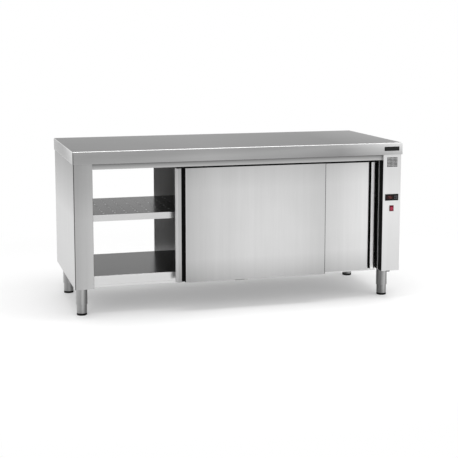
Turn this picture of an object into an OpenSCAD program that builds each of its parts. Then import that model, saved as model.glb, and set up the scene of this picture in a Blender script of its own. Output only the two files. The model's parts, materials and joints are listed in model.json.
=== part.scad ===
// Pass-through heated plate cabinet in folded stainless sheet.
// Sliding doors hang in two lanes on both long sides, a hollow column at the
// right end holds the controls and the fan heater, and four round legs with
// adjustable feet carry it. Origin: floor, centre of the footprint. +Z up,
// +X towards the control column, the control side faces -Y.

/* [Overall] */
// Length of the worktop
top_w = 1800; // [1400:10:2400]
// Depth of the worktop
top_d = 775; // [720:5:900]
// Height of the working surface above the floor
work_h = 870; // [850:5:950]

/* [Worktop] */
// Height of the folded edge
edge_h = 65; // [55:1:70]
// Sheet thickness of the worktop
top_t = 1.5; // [1:0.1:2]
// Outside bend radius of the folded edges
bend_r = 4; // [2.5:0.5:6]
// Thickness of the sound-deadening board under the sheet
core_t = 18; // [12:1:20]
// Overhang of the worktop past each end panel
side_overhang = 3; // [2.5:0.5:6]
// Overhang of the worktop past the posts, front and rear
front_overhang = 10; // [9:1:20]
// Width of the inward hem under the long edges
hem_w = 7; // [4:0.5:7.5]
// Radius of the bare plate's corners
plate_r = 3; // [1:0.5:6]
// Length of the bare plate on the fascia
plate_w = 87; // [60:1:100]
// Height of the bare plate on the fascia
plate_h = 23; // [15:1:30]
// Thickness of the bare plate
plate_t = 0.6; // [0.4:0.1:1]
// How far the bare plate stands off the column's middle
plate_off = 8; // [0:1:9]

/* [Carcass] */
// Sheet thickness of the carcass
sheet_t = 1.2; // [1:0.1:1.5]
// Height of the carcass bottom above the floor
carcass_z = 159; // [150:1:180]
// Width of the left end box, seen as the left post
post_w = 97; // [80:1:120]
// Width of the control column
column_w = 104; // [100:1:140]
// Width of the rib between the door lanes on each jamb
rib_w = 4; // [3:0.5:6]
// How far that rib stands out from the jamb
rib_d = 5; // [3:1:11]
// Gap between the inner doors' backs and the shelves
shelf_back = 4; // [2:0.5:10]
// Width of the flanges on the inner walls
inner_flange = 15; // [10:1:25]
// Air gap round the mineral wool
wool_gap = 10; // [3:1:20]

/* [Shelves] */
// Height of the bottom shelf's folded edge
base_h = 47; // [40:1:60]
// Width of the inward hem under the bottom shelf's edge
base_hem = 12; // [8:1:20]
// Height of the beams under the bottom shelf
beam_h = 12.5; // [10:0.5:20]
// Width of those beams
beam_w = 40; // [30:1:60]
// Outside bend radius of the shelves' long edges
shelf_r = 3; // [2:0.5:5]
// Height of the middle shelf's surface above the bottom shelf's
shelf_up = 323; // [250:1:400]
// Height of the middle shelf's folded edge
shelf_h = 35; // [25:1:40]
// Diameter of the holes in the middle shelf
hole_d = 12; // [8:1:20]
// Pitch of those holes
hole_pitch = 60; // [50:1:80]
// Distance between the two stiffening ribs under the middle shelf
rib_under_w = 36; // [30:1:40]
// Height of the ceiling panel above the rail cover's bottom
ceiling_up = 14; // [8:1:18]
// Depth of a slotted shelf upright
upright_d = 8; // [6:0.5:12]
// Width of a slotted shelf upright
upright_w = 25; // [20:1:35]
// Distance of the uprights from the shelves' edges
upright_in = 85.5; // [40:0.5:140]
// Gap between the uprights and the panels above and below
upright_gap = 8; // [2:1:15]
// Pitch of the slots in the uprights
slot_pitch = 50; // [40:5:75]
// Width of a slot
slot_w = 10; // [8:1:14]
// Height of a slot
slot_h = 5; // [4:0.5:8]
// Length of a shelf bracket's seat
bracket_l = 26; // [15:1:40]
// Height of a shelf bracket's wall leg
bracket_h = 24; // [15:1:40]
// Thickness of a shelf bracket
bracket_t = 2; // [1.5:0.5:3]

/* [Doors] */
// How far two closed doors of one side overlap
door_overlap = 74; // [74:1:120]
// Thickness of a door
door_t = 34; // [32:1:38]
// Sheet thickness of a door
skin_t = 1; // [0.8:0.1:1.2]
// Gap between the two door lanes
lane_gap = 10; // [8:1:14]
// Setback of the outer doors behind the post faces
door_set = 10; // [8:1:14]
// Gap between a door's bottom and the carcass bottom level
door_lift = 1; // [0.5:0.5:4]
// Gap between a door's top and the rail cover above it
door_top_gap = 8; // [5:0.5:12]
// Setback of the grip lip behind the door's face
lip_set = 15; // [10:1:17]
// Width of the grip lip
lip_w = 18; // [15:1:20]
// Width of the finger recess
recess_w = 19; // [18:1:30]
// Depth of the finger recess behind the door's face
recess_d = 28; // [24:1:29]
// Width of the slanted flank at the door's end
flank_w = 12; // [6:1:14]
// Flat width left at the door's end behind the flank
flank_flat = 8; // [7:0.5:10]
// Bend radius at the panel's edge beside the recess
panel_r = 6; // [3:1:8]
// How far the front outer door stands open
front_open = 428; // [100:1:560]
// How far the rear outer door stands open
rear_open = 456; // [100:1:560]

/* [Door running gear] */
// Height of the rail cover below the fascia
cover_drop = 31; // [25:1:34]
// Setback of the rail cover behind the post faces
cover_set = 15; // [12:1:17]
// Width of the hem under the rail cover
cover_hem = 4; // [3:0.5:5]
// Distance of the rolling surface below the fascia's bottom
rail_drop = 3; // [1:0.5:6]
// Thickness of the track
rail_t = 2; // [1.5:0.5:3]
// Radius of a roller
roller_r = 11; // [9:0.5:13]
// Width of a roller
roller_w = 8; // [6:0.5:8.5]
// Radius of a roller pin
pin_r = 3; // [2.5:0.5:4]
// Radius of a pin's head
head_r = 5.5; // [5:0.5:7]
// Radial clearance of pins, shafts and feet in their holes
pin_gap = 0.05; // [0.02:0.01:0.1]
// Running clearance between parts that pass each other
run_gap = 0.3; // [0.2:0.1:0.5]
// Thickness of a door hanger
hanger_t = 3; // [2:0.5:3.5]
// Width of a door hanger
hanger_w = 50; // [30:1:80]
// Distance of the hangers from the door's ends
hanger_in = 100; // [70:5:200]
// Distance of the hangers from the door's liner
hanger_back = 7; // [5:0.5:9]
// Gap between a closed door and the jamb
stop_in = 10; // [8:0.5:20]
// Length of the rubber stops in the tracks
stop_l = 24; // [15:1:40]
// How far the stops reach above the rollers' axes
stop_up = 4; // [2:0.5:8]
// Gap between a roller and its stop when the door is closed
stop_gap = 0.5; // [0.3:0.1:1]
// Width of the guide groove in a door's bottom
groove_w = 10; // [8:0.5:12]
// Thickness of a guide fin
fin_t = 7; // [5:0.5:7.5]
// Length of a guide fin
fin_l = 17; // [12:1:17]
// Gap between a guide fin and the end of a door's groove
fin_gap = 2; // [1:0.5:4]
// How far a guide fin reaches into the door
fin_in = 8; // [5:1:12]
// Thickness of the guide's foot plate
guide_t = 3; // [2:0.5:4]
// Gap between the guide's foot plate and the door
guide_gap = 5; // [3:0.5:6]

/* [Legs] */
// Diameter of a leg tube
leg_d = 60; // [50:1:64]
// Wall of a leg tube
leg_t = 1.5; // [1:0.1:2]
// Distance of the legs behind the post faces
leg_in = 117.5; // [100:0.5:150]
// Side of a leg's square top plate
leg_plate = 84; // [72:1:90]
// Thickness of that plate
leg_plate_t = 2; // [1.5:0.5:4]
// Visible height of a foot
foot_h = 58; // [45:1:70]
// Diameter of a foot
foot_d = 54; // [46:1:56]
// Height of the insert in the leg's mouth
insert_h = 22; // [15:1:30]
// Length of a foot inside its leg
foot_in = 67; // [60:1:70]
// Height of the dark base ring
ring_h = 10; // [5:1:14]
// How far the base ring is drawn in
ring_in = 1.5; // [1:0.5:4]

/* [Controls] */
// Distance of the vent's middle below the worktop
vent_drop = 107; // [100:1:130]
// Side of a square vent hole
vent_d = 6.2; // [4:0.1:6.5]
// Pitch of the vent holes
vent_pitch = 7.7; // [7.5:0.1:10]
// Holes in a vent row
vent_nx = 8; // [4:1:9]
// Rows of vent holes
vent_nz = 7; // [4:1:8]
// Distance of the thermostat's middle below the worktop
stat_drop = 301; // [170:1:330]
// Width of the thermostat's bezel
stat_w = 77; // [75:1:80]
// Height of the thermostat's bezel
stat_h = 35; // [34:1:38]
// Depth of the thermostat behind the column's face
stat_d = 60; // [40:1:80]
// Thickness of the bezels in front of the column's face
bezel_t = 3.5; // [2.5:0.5:4]
// Rim of a bezel over its cut-out
bezel_rim = 2.5; // [2:0.5:3]
// Width of the display window
window_w = 40; // [30:1:42]
// Height of the display window
window_h = 20; // [14:1:24]
// Distance of the window from the bezel's left end
window_in = 6; // [4:0.5:8]
// Width of a key
key_w = 8; // [5:0.5:9]
// Height of a key
key_h = 6; // [4:0.5:7]
// Pitch of the keys
key_pitch = 11; // [9.5:0.5:11.5]
// Distance of the first column of keys from the bezel's right end
key_in = 20.5; // [19:0.5:22]
// Travel of a key
key_travel = 0.8; // [0.5:0.1:1]
// Distance of the rocker switch's middle below the thermostat's
rocker_drop = 61; // [40:1:90]
// Width of the rocker's bezel
rocker_w = 24; // [22:1:30]
// Height of the rocker's bezel
rocker_h = 32; // [30:1:36]
// Depth of the rocker switch behind the column's face
rocker_d = 26; // [22:1:35]
// Tilt of the rocker at rest
rocker_tilt = 9; // [5:1:10]
// Radius of the rocker's pivot
pivot_r = 1.5; // [1:0.1:2]
// Distance of the pivot behind the column's face
pivot_in = 6; // [5:0.5:8]
// Wall of the rocker's housing
rocker_wall = 1.2; // [0.8:0.1:1.5]
// Thickness of the rocker's bezel in front of the column's face
rocker_bezel_t = 2.5; // [1.5:0.5:3]
// How far the rocker stands out of its bezel when level
rocker_proud = 1.5; // [1:0.5:2.5]
// Gap above and below the rocker when level
rocker_play = 2.2; // [2:0.1:3]

/* [Heater and cable entry] */
// Height of the fan's axis above the carcass bottom
fan_up = 321; // [240:1:400]
// Radius of the fan wheel
fan_r = 75; // [50:1:85]
// Width of the fan wheel's blades
blade_w = 32; // [20:1:34]
// Number of blades
blade_n = 18; // [8:1:30]
// Radius of the fan shaft
shaft_r = 4; // [3:0.5:6]
// Gap round the shaft in the fan plate
shaft_play = 3; // [1:0.5:5]
// Distance of the wheel's back plate from the fan plate
wheel_gap = 8; // [5:0.5:10]
// Radius of the fan motor
motor_r = 43; // [30:1:50]
// Length of the fan motor
motor_l = 38; // [25:1:39]
// Distance of the fan plate from the duct wall
fan_plate_x = 56; // [50:1:60]
// Middle radius of the heating element
heater_r = 98; // [95:1:110]
// Radius of the element's tube
heater_tube_r = 4; // [3:0.5:6]
// Diameter of the air holes in the duct wall
air_d = 10; // [6:1:14]
// Pitch of the air holes
air_pitch = 20; // [18:1:30]
// Width of an air outlet slot
outlet_w = 60; // [30:5:100]
// Height of an air outlet slot
outlet_h = 8; // [5:1:12]
// Distance of the air duct's end walls from the outlet slots
duct_end_gap = 8; // [4:1:10]
// Pitch of the outlet slots
outlet_pitch = 40; // [30:5:60]
// Distance of the outlet slots' middles from the shelves' edges
outlet_in = 55.5; // [50:0.5:90]
// Radius of the temperature probe
probe_r = 3; // [2:0.5:4]
// Length of the temperature probe
probe_l = 80; // [40:5:120]
// Distance of the probe in front of the cabinet's middle
probe_y = 150; // [130:5:200]
// Height of the probe's lower end above the fan's axis
probe_up = 120; // [0:5:160]
// Width of the terminal block
block_w = 40; // [30:1:60]
// Depth of the terminal block
block_d = 24; // [16:1:30]
// Height of the terminal block
block_h = 22; // [16:1:30]
// Distance of the terminal block behind the gland
block_gap = 16; // [8:1:30]
// Radius of the cable's hole in the gland
gland_bore = 5.5; // [4:0.5:6.5]
// Radius of the gland's shank
gland_r = 10; // [9:0.5:12]
// Radius of the gland's nuts
gland_nut_r = 14; // [13:0.5:18]
// Height of the gland below the carcass
gland_h = 14; // [8:1:20]
// Distance of the gland behind the column's face
gland_in = 47; // [30:1:60]
// How far the gland stands off the column's middle
gland_off = 6.5; // [0:0.5:12]

/* [Hidden] */

// Faces of round parts
$fn = 40;
// A cut runs this far past the faces it opens
cut = 1;

// Carcass faces, in X and Y from the middle
end_x = top_w / 2 - side_overhang;
face_y = top_d / 2 - front_overhang;
left_jamb = -end_x + post_w;
right_jamb = end_x - column_w;
// Top of the carcass, which carries the board under the worktop
carcass_top = work_h - top_t - core_t;
// Bottom of the fascia and of the rail cover under it
fascia_z = work_h - edge_h;
cover_z = fascia_z - cover_drop;
ceiling_z = cover_z + ceiling_up;

// Setback of the two lanes' doors, and of the shelves behind them
lane_pitch = door_t + lane_gap;
lane_set = [door_set, door_set + lane_pitch];
shelf_set = lane_set[1] + door_t + shelf_back;
shelf_y = face_y - shelf_set;

// Doors: the two of one side overlap when both are closed
door_w = (right_jamb - left_jamb - 2 * stop_in + door_overlap) / 2;
door_z = carcass_z + door_lift;
door_h = cover_z - door_top_gap - door_z;
closed_left = left_jamb + stop_in;
closed_right = right_jamb - stop_in;
recess_u = flank_w + lip_w + recess_w;

// Running gear, measured back from a door's face
hanger_v = door_t - skin_t - hanger_back - hanger_t;
roller_v = hanger_v + hanger_t + run_gap;
rail_z = fascia_z - rail_drop;
roller_z = rail_z + run_gap + roller_r;
pin_end_v = roller_v + roller_w + run_gap;
head_t = 1;
weld_gap = 0.2;
web_v = pin_end_v + head_t + run_gap + weld_gap;
foot_v = hanger_v + hanger_t + run_gap + weld_gap;
groove_v = (door_t - groove_w) / 2;

// Legs and feet
leg_y = face_y - leg_in;
leg_x_left = -end_x + post_w / 2;
leg_x_right = end_x - column_w / 2;
control_x = end_x - column_w / 2;

// Middle shelf and its uprights
base_top = carcass_z + base_h;
shelf_z = base_top + shelf_up;
upright_y = shelf_y - upright_in;
shelf_end_gap = 1;
shelf_x0 = left_jamb + upright_d + shelf_end_gap;
shelf_x1 = right_jamb - upright_d - shelf_end_gap;

// Vent, thermostat and switch
vent_z = work_h - vent_drop;
stat_z = work_h - stat_drop;
rocker_z = stat_z - rocker_drop;
stat_cut_w = stat_w - 2 * bezel_rim;
stat_cut_h = stat_h - 2 * bezel_rim;
rocker_cut_w = rocker_w - 2 * bezel_rim;
rocker_cut_h = rocker_h - 2 * bezel_rim;
window_x = control_x - stat_w / 2 + window_in;
key_x = control_x + stat_w / 2 - key_in;
key_stem = 5;
key_proud = 1.2;
key_gap = 0.25;
window_t = 1.2;
window_set = 0.3;

// Heater
fan_z = carcass_z + fan_up;
outlet_y = shelf_y - outlet_in;
probe_z = fan_z + probe_up;
fan_x = right_jamb + fan_plate_x;
gland_x = control_x + gland_off;
gland_y = -face_y + gland_in;

// ---- profiles ----

// A rectangle whose corners on the +Y side are rounded
module tab(x0, x1, y0, y1, r) {
    translate([x0, y0]) square([x1 - x0, y1 - y0 - r]);
    translate([x0 + r, y0]) square([x1 - x0 - 2 * r, y1 - y0]);
    for (x = [x0 + r, x1 - r]) translate([x, y1 - r]) circle(r);
}

// A plate between two corners
module plate(a, b) {
    translate(a) cube(b - a);
}

// The children, once as drawn and once mirrored to the rear
module both_sides() {
    children();
    mirror([0, 1, 0]) children();
}

// A folded channel along X that opens downwards: half width in Y, top, height, wall
module channel_x(x0, x1, y, top, h, t, r) {
    translate([x0, 0, top]) rotate([90, 0, 90]) linear_extrude(x1 - x0)
        difference() {
            tab(-y, y, -h, 0, r);
            tab(-y + t, y - t, -h - cut, -t, r - t);
        }
}

// ---- worktop ----

// A block with all its top edges bent to a radius
module bent_block(w, d, top, h, r) {
    intersection() {
        translate([-w / 2, 0, top]) rotate([90, 0, 90]) linear_extrude(w) tab(-d / 2, d / 2, -h, 0, r);
        translate([0, d / 2, top]) rotate([90, 0, 0]) linear_extrude(d) tab(-w / 2, w / 2, -h, 0, r);
    }
}

module worktop() {
    color("lightgray") {
        difference() {
            bent_block(top_w, top_d, work_h, edge_h, bend_r);
            bent_block(top_w - 2 * top_t, top_d - 2 * top_t, work_h - top_t,
                edge_h + cut, bend_r - top_t);
        }
        both_sides() plate([-end_x, -top_d / 2 + top_t / 2, fascia_z],
            [end_x, -top_d / 2 + top_t + hem_w, fascia_z + top_t]);
    }
}

module worktop_core() {
    core_in = bend_r + top_t;
    color("tan") plate([-top_w / 2 + core_in, -top_d / 2 + core_in, carcass_top],
        [top_w / 2 - core_in, top_d / 2 - core_in, carcass_top + core_t]);
}

// Bare plate on the fascia, over the column
module nameplate() {
    color("black") translate([control_x - plate_off, -top_d / 2, (work_h + fascia_z) / 2])
        rotate([90, 0, 0]) linear_extrude(plate_t) {
            square([plate_w - 2 * plate_r, plate_h], center = true);
            square([plate_w, plate_h - 2 * plate_r], center = true);
            for (x = [-1, 1], y = [-1, 1])
                translate([x * (plate_w / 2 - plate_r), y * (plate_h / 2 - plate_r)]) circle(plate_r);
        }
}

module top_insulation() {
    color("khaki") plate([left_jamb + wool_gap, -shelf_y + wool_gap, ceiling_z + sheet_t],
        [right_jamb - wool_gap, shelf_y - wool_gap, carcass_top - wool_gap]);
}

module ceiling_panel() {
    flange = 8;
    color("silver") {
        plate([left_jamb, -shelf_y, ceiling_z], [right_jamb, shelf_y, ceiling_z + sheet_t]);
        both_sides() plate([left_jamb, -shelf_y, ceiling_z],
            [right_jamb, -shelf_y + sheet_t, ceiling_z + flange]);
    }
}

// ---- end boxes ----

// Hollow end box of a given width, open towards the cabinet between its jambs.
// x = 0 is the outer face and +X points to the cabinet.
module end_box(w) {
    h = carcass_top - carcass_z;
    rib_y = -face_y + lane_set[0] + door_t + (lane_gap - rib_w) / 2;
    difference() {
        translate([0, 0, carcass_z]) linear_extrude(h) translate([0, -face_y]) square([w, 2 * face_y]);
        translate([0, 0, carcass_z + sheet_t]) linear_extrude(h)
            translate([sheet_t, -face_y + sheet_t]) square([w - 2 * sheet_t, 2 * (face_y - sheet_t)]);
        plate([w - sheet_t - cut, -shelf_y, carcass_z + sheet_t],
            [w + cut, shelf_y, carcass_top + cut]);
    }
    // Ribs between the door lanes
    both_sides() plate([w - sheet_t / 2, rib_y, carcass_z], [w + rib_d, rib_y + rib_w, cover_z - run_gap]);
}

module left_side_shell() {
    color("gainsboro") translate([-end_x, 0, 0]) end_box(post_w);
}

// Inner wall of an end box: x is its cabinet face, s is +1 when the box lies at +X
module inner_wall(x, s) {
    both_sides() plate([min(x, x + s * inner_flange), -shelf_y, carcass_z + sheet_t],
        [max(x, x + s * inner_flange), -shelf_y + sheet_t, carcass_top]);
    plate([min(x, x + s * sheet_t), -shelf_y, carcass_z + sheet_t],
        [max(x, x + s * sheet_t), shelf_y, carcass_top]);
}

module left_inner_panel() {
    color("silver") inner_wall(left_jamb, -1);
}

module left_insulation() {
    y = shelf_y - inner_flange - wool_gap;
    color("khaki") plate([-end_x + sheet_t, -y, carcass_z + sheet_t],
        [left_jamb - sheet_t, y, carcass_top - wool_gap]);
}

// Vent, thermostat and switch openings in the column's face
module control_cuts() {
    for (i = [0:vent_nx - 1], j = [0:vent_nz - 1])
        translate([control_x + (i - (vent_nx - 1) / 2) * vent_pitch - vent_d / 2, -face_y - cut,
            vent_z + (j - (vent_nz - 1) / 2) * vent_pitch - vent_d / 2])
            cube([vent_d, 2 * cut + sheet_t, vent_d]);
    plate([control_x - stat_cut_w / 2, -face_y - cut, stat_z - stat_cut_h / 2],
        [control_x + stat_cut_w / 2, -face_y + sheet_t + cut, stat_z + stat_cut_h / 2]);
    plate([control_x - rocker_cut_w / 2, -face_y - cut, rocker_z - rocker_cut_h / 2],
        [control_x + rocker_cut_w / 2, -face_y + sheet_t + cut, rocker_z + rocker_cut_h / 2]);
}

module column_shell() {
    color("gainsboro") difference() {
        translate([end_x, 0, 0]) mirror([1, 0, 0]) end_box(column_w);
        control_cuts();
        translate([gland_x, gland_y, carcass_z - cut]) cylinder(r = gland_r + pin_gap, h = sheet_t + 2 * cut);
    }
}

// Air intake in front of the fan and outlet slots at both ends of the wall
module air_cuts() {
    n = floor(fan_r / air_pitch);
    for (i = [-n:n], j = [-n:n])
        if (norm([i, j]) * air_pitch + air_d / 2 < fan_r)
            translate([right_jamb - cut, i * air_pitch, fan_z + j * air_pitch])
                rotate([0, 90, 0]) cylinder(d = air_d, h = sheet_t + 2 * cut);
    rows = floor((ceiling_z - base_top - 2 * outlet_pitch) / outlet_pitch);
    for (j = [0:rows], s = [-1, 1])
        translate([right_jamb - cut, s * outlet_y - outlet_w / 2,
            base_top + outlet_pitch + j * outlet_pitch])
            cube([sheet_t + 2 * cut, outlet_w, outlet_h]);
}

module duct_wall() {
    color("silver") difference() {
        inner_wall(right_jamb, 1);
        air_cuts();
    }
}

// ---- shelves ----

module bottom_shelf() {
    color("lightgray") {
        channel_x(left_jamb, right_jamb, shelf_y, base_top, base_h, sheet_t, shelf_r);
        both_sides() plate([left_jamb, -shelf_y + sheet_t / 2, carcass_z],
            [right_jamb, -shelf_y + base_hem, carcass_z + sheet_t]);
    }
}

// Channels under the long edges of the bottom shelf
module base_beams() {
    color("lightgray") both_sides() difference() {
        plate([left_jamb, -shelf_y, carcass_z - beam_h], [right_jamb, -shelf_y + beam_w, carcass_z]);
        plate([left_jamb - cut, -shelf_y + sheet_t, carcass_z - beam_h + sheet_t],
            [right_jamb + cut, -shelf_y + beam_w - sheet_t, carcass_z + cut]);
    }
}

// Perforated tray, folded down on all four edges
module middle_shelf() {
    nx = floor((shelf_x1 - shelf_x0 - hole_pitch) / hole_pitch / 2);
    ny = floor((shelf_y - hole_pitch / 2) / hole_pitch);
    mid = (shelf_x0 + shelf_x1) / 2;
    color("lightgray") {
        difference() {
            channel_x(shelf_x0, shelf_x1, shelf_y, shelf_z, shelf_h, sheet_t, shelf_r);
            for (i = [-nx:nx], j = [-ny:ny])
                translate([mid + i * hole_pitch, j * hole_pitch, shelf_z - sheet_t - cut])
                    cylinder(d = hole_d, h = sheet_t + 2 * cut, $fn = 20);
        }
        for (x = [shelf_x0, shelf_x1 - sheet_t])
            plate([x, -shelf_y + sheet_t / 2, shelf_z - shelf_h],
                [x + sheet_t, shelf_y - sheet_t / 2, shelf_z - sheet_t / 2]);
        for (s = [-1, 1])
            plate([shelf_x0 + sheet_t / 2, (s * rib_under_w - sheet_t) / 2, shelf_z - shelf_h * 3 / 4],
                [shelf_x1 - sheet_t / 2, (s * rib_under_w + sheet_t) / 2, shelf_z - sheet_t / 2]);
    }
}

// One slotted upright against a wall at x, standing out towards s
module upright(x, y, s) {
    z0 = base_top + upright_gap;
    z1 = ceiling_z - upright_gap;
    n = floor((z1 - z0 - slot_pitch) / slot_pitch);
    difference() {
        plate([min(x, x + s * upright_d), y - upright_w / 2, z0],
            [max(x, x + s * upright_d), y + upright_w / 2, z1]);
        plate([min(x, x + s * (upright_d - sheet_t)) - cut * (s > 0 ? 1 : 0),
            y - upright_w / 2 + sheet_t, z0 - cut],
            [max(x, x + s * (upright_d - sheet_t)) + cut * (s > 0 ? 0 : 1),
            y + upright_w / 2 - sheet_t, z1 + cut]);
        for (i = [0:n])
            plate([x - upright_d - cut, y - slot_w / 2, z0 + slot_pitch / 2 + i * slot_pitch],
                [x + upright_d + cut, y + slot_w / 2, z0 + slot_pitch / 2 + i * slot_pitch + slot_h]);
    }
}

module shelf_uprights() {
    color("silver") both_sides() {
        upright(left_jamb, upright_y, 1);
        upright(right_jamb, upright_y, -1);
    }
}

// Angle that hooks on an upright and carries the shelf's end edge
module bracket(x, y, s) {
    seat = shelf_z - shelf_h;
    w = upright_w - 2 * sheet_t;
    plate([min(x, x + s * bracket_l), y - w / 2, seat - bracket_t],
        [max(x, x + s * bracket_l), y + w / 2, seat]);
    plate([min(x, x + s * bracket_t), y - w / 2, seat - bracket_h],
        [max(x, x + s * bracket_t), y + w / 2, seat - bracket_t / 2]);
}

module shelf_brackets() {
    color("gray") both_sides() {
        bracket(left_jamb + upright_d, upright_y, 1);
        bracket(right_jamb - upright_d, upright_y, -1);
    }
}

// ---- rails and tracks ----

// Folded cover over the running gear, as seen under the fascia
module top_rail() {
    y = -face_y + cover_set;
    plate([left_jamb, y, cover_z], [right_jamb, y + sheet_t, carcass_top]);
    plate([left_jamb, y, cover_z], [right_jamb, y + cover_hem, cover_z + sheet_t]);
    plate([left_jamb, y, carcass_top - sheet_t], [right_jamb, -shelf_y, carcass_top]);
}

module front_top_rail() {
    color("lightgray") top_rail();
}

module rear_top_rail() {
    color("lightgray") mirror([0, 1, 0]) top_rail();
}

// Double track: one web and one rolling foot for each lane
module door_track() {
    top = carcass_top - sheet_t;
    web = [for (s = lane_set) -face_y + s + web_v];
    for (i = [0, 1]) {
        plate([left_jamb, web[i], rail_z - rail_t], [right_jamb, web[i] + rail_t, top]);
        plate([left_jamb, -face_y + lane_set[i] + foot_v, rail_z - rail_t],
            [right_jamb, web[i] + rail_t, rail_z]);
    }
    plate([left_jamb, web[0], top - rail_t], [right_jamb, web[1] + rail_t, top]);
}

module front_door_track() {
    color("darkgray") door_track();
}

module rear_door_track() {
    color("darkgray") mirror([0, 1, 0]) door_track();
}

// Where each lane's guide fin stands: clear of both doors' grips and ends
function fin_x(lane) = lane == 0
    ? closed_left + door_w - skin_t - fin_gap - fin_l
    : closed_right - door_w + skin_t + fin_gap;

// Plastic guide under the doors' overlap, with one fin for each lane
module door_guide() {
    z1 = door_z - guide_gap;
    x0 = fin_x(1);
    x1 = fin_x(0) + fin_l;
    fin_y = [for (s = lane_set) -face_y + s + door_t / 2 - fin_t / 2];
    plate([x0, fin_y[0], z1 - guide_t], [x1, -shelf_y, z1]);
    plate([x0, -shelf_y - guide_t, carcass_z - beam_h], [x1, -shelf_y, z1]);
    for (lane = [0, 1])
        plate([fin_x(lane), fin_y[lane], z1 - guide_t],
            [fin_x(lane) + fin_l, fin_y[lane] + fin_t, door_z + fin_in]);
}

module door_guides() {
    color("dimgray") both_sides() door_guide();
}

// Rubber stop on a lane's rolling foot. Its tall end meets the roller at x = 0.
module track_stop(s) {
    h = run_gap + roller_r + stop_up;
    translate([0, -face_y + s + web_v, rail_z]) rotate([90, 0, 0]) linear_extrude(web_v - roller_v)
        polygon([[0, 0], [0, h], [-stop_l / 2, h], [-stop_l, h / 2], [-stop_l, 0]]);
}

// Stops at both ends of each lane
module door_buffers() {
    stop_x = stop_in + hanger_in - roller_r - stop_gap;
    color("black") both_sides() for (s = lane_set) {
        translate([left_jamb + stop_x, 0, 0]) track_stop(s);
        translate([right_jamb - stop_x, 0, 0]) mirror([1, 0, 0]) track_stop(s);
    }
}

// ---- doors ----
// A door lies with its grip end at x = 0, its face at y = 0 and its bottom at z = 0.

// Outline of a door, inset by o, with its open back at y = back
function door_outline(o, back) = concat(
    [[o, back],
    [o, door_t - flank_flat + o / 2],
    [flank_w + o / 2, lip_set + o],
    [flank_w + lip_w - o, lip_set + o],
    [flank_w + lip_w - o, recess_d + o],
    [recess_u + o, recess_d + o]],
    [for (a = [180:15:270]) [recess_u + panel_r + (panel_r - o) * cos(a),
        panel_r + (panel_r - o) * sin(a)]],
    [[door_w - o, o],
    [door_w - o, back]]);

module door_skin() {
    difference() {
        linear_extrude(door_h) polygon(door_outline(0, door_t - skin_t));
        translate([0, 0, skin_t]) linear_extrude(door_h - 2 * skin_t)
            polygon(door_outline(skin_t, door_t));
        plate([recess_u + panel_r / 2, groove_v, -cut],
            [door_w - skin_t, groove_v + groove_w, skin_t + cut]);
    }
}

// Flat back of a door with the two hangers welded on its top edge
module door_liner() {
    pin_z = roller_z - door_z;
    plate([0, door_t - skin_t, 0], [door_w, door_t, door_h]);
    for (u = [hanger_in, door_w - hanger_in]) {
        plate([u - hanger_w / 2, hanger_v - hanger_back, door_h],
            [u + hanger_w / 2, door_t, door_h + hanger_t]);
        plate([u - hanger_w / 2, hanger_v, door_h],
            [u + hanger_w / 2, hanger_v + hanger_t, pin_z + roller_r]);
        translate([u, hanger_v + hanger_t / 2, pin_z]) rotate([-90, 0, 0]) {
            cylinder(r = pin_r, h = pin_end_v - hanger_v - hanger_t / 2);
            translate([0, 0, pin_end_v - hanger_v - hanger_t / 2]) cylinder(r = head_r, h = head_t);
        }
    }
}

// Plastic roller with eased edges that turns on a hanger's pin
module roller() {
    edge = 0.8;
    rotate([-90, 0, 0]) rotate_extrude() polygon([
        [pin_r + pin_gap, 0], [roller_r - edge, 0], [roller_r, edge],
        [roller_r, roller_w - edge], [roller_r - edge, roller_w], [pin_r + pin_gap, roller_w]]);
}

// Puts a front door's parts in place: the outer door stands at the left, open
module at_front_left(open) {
    translate([closed_left + open, -face_y + lane_set[0], door_z]) children();
}

// The inner door stands at the right, closed
module at_front_right() {
    translate([closed_right, -face_y + lane_set[1], door_z]) mirror([1, 0, 0]) children();
}

module at_rear() {
    mirror([0, 1, 0]) children();
}

// Roller n of a door: 0 is the one near the grip
module door_roller(n) {
    translate([n == 0 ? hanger_in : door_w - hanger_in, roller_v, roller_z - door_z]) roller();
}

module front_left_door_skin() {
    color("silver") at_front_left(front_open) door_skin();
}

module front_right_door_skin() {
    color("silver") at_front_right() door_skin();
}

module rear_left_door_skin() {
    color("silver") at_rear() at_front_left(rear_open) door_skin();
}

module rear_right_door_skin() {
    color("silver") at_rear() at_front_right() door_skin();
}

module front_left_door_liner() {
    color("darkgray") at_front_left(front_open) door_liner();
}

module front_right_door_liner() {
    color("darkgray") at_front_right() door_liner();
}

module rear_left_door_liner() {
    color("darkgray") at_rear() at_front_left(rear_open) door_liner();
}

module rear_right_door_liner() {
    color("darkgray") at_rear() at_front_right() door_liner();
}

module front_left_roller_a() {
    color("ivory") at_front_left(front_open) door_roller(0);
}

module front_left_roller_b() {
    color("ivory") at_front_left(front_open) door_roller(1);
}

module front_right_roller_a() {
    color("ivory") at_front_right() door_roller(0);
}

module front_right_roller_b() {
    color("ivory") at_front_right() door_roller(1);
}

module rear_left_roller_a() {
    color("ivory") at_rear() at_front_left(rear_open) door_roller(0);
}

module rear_left_roller_b() {
    color("ivory") at_rear() at_front_left(rear_open) door_roller(1);
}

module rear_right_roller_a() {
    color("ivory") at_rear() at_front_right() door_roller(0);
}

module rear_right_roller_b() {
    color("ivory") at_rear() at_front_right() door_roller(1);
}

// ---- legs ----

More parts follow.
